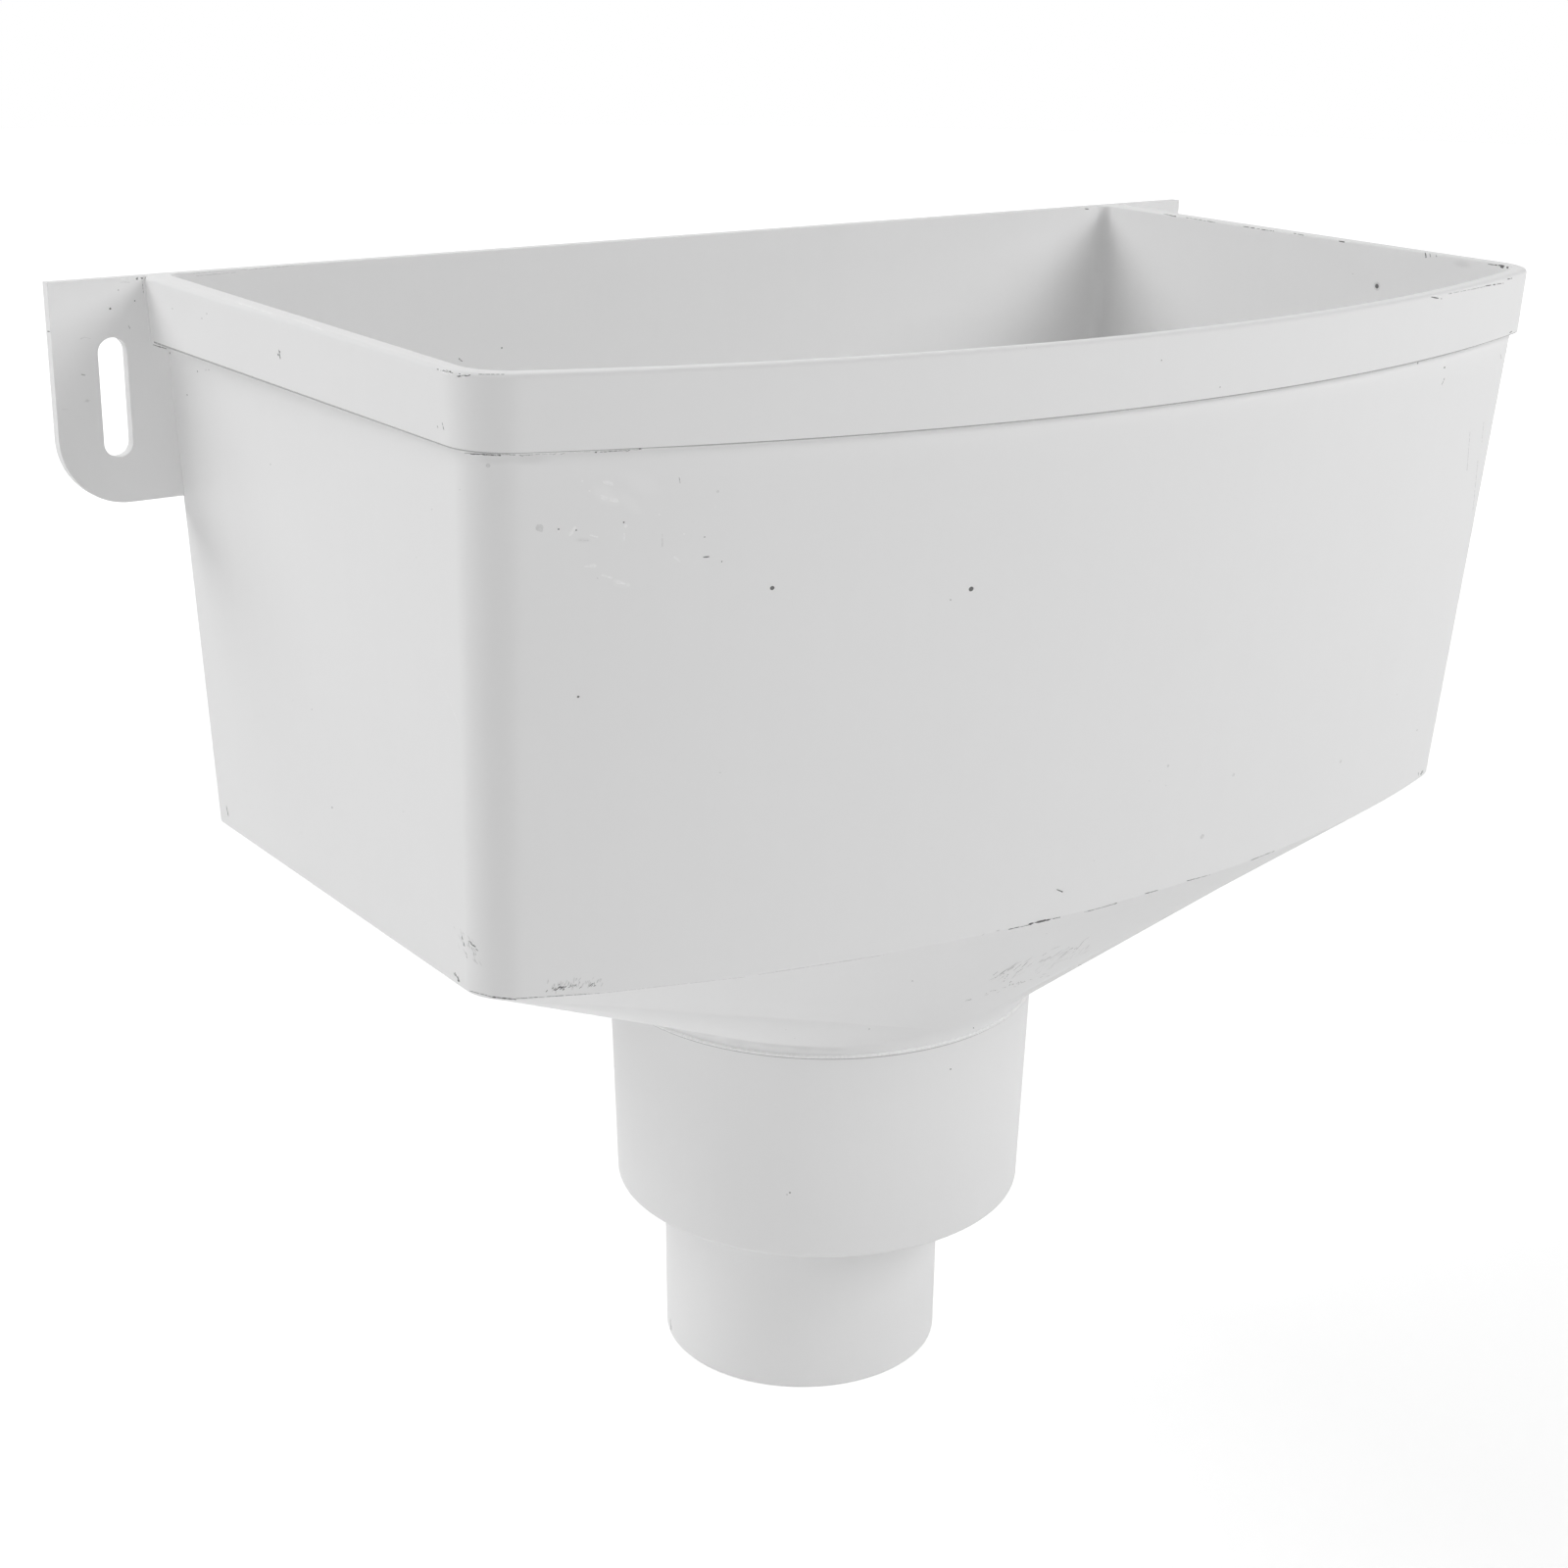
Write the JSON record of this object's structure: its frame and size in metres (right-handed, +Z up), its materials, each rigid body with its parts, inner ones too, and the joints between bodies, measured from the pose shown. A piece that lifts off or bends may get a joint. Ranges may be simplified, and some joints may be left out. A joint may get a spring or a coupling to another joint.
{
  "type": "rainwater hopper head",
  "caption": "White plastic rainwater hopper head: open bow-fronted basin with a rim band, slotted wall ears, a square-to-round funnel and a stepped downpipe spigot.",
  "frame": {"origin": "on the wall face of the back plate, midway between the two fixing slots", "axes": "+Y into the wall, square to the back plate; +Z up, out of the basin's mouth; +X along the back plate, to the right as seen from the front"},
  "size_m": [0.353, 0.1919, 0.2991],
  "materials": {
    "white_plastic": "white moulded plastic, satin, with fine handling marks"
  },
  "bodies": {
    "root": {"hopper_head": "white_plastic"}
  },
  "joints": []
}
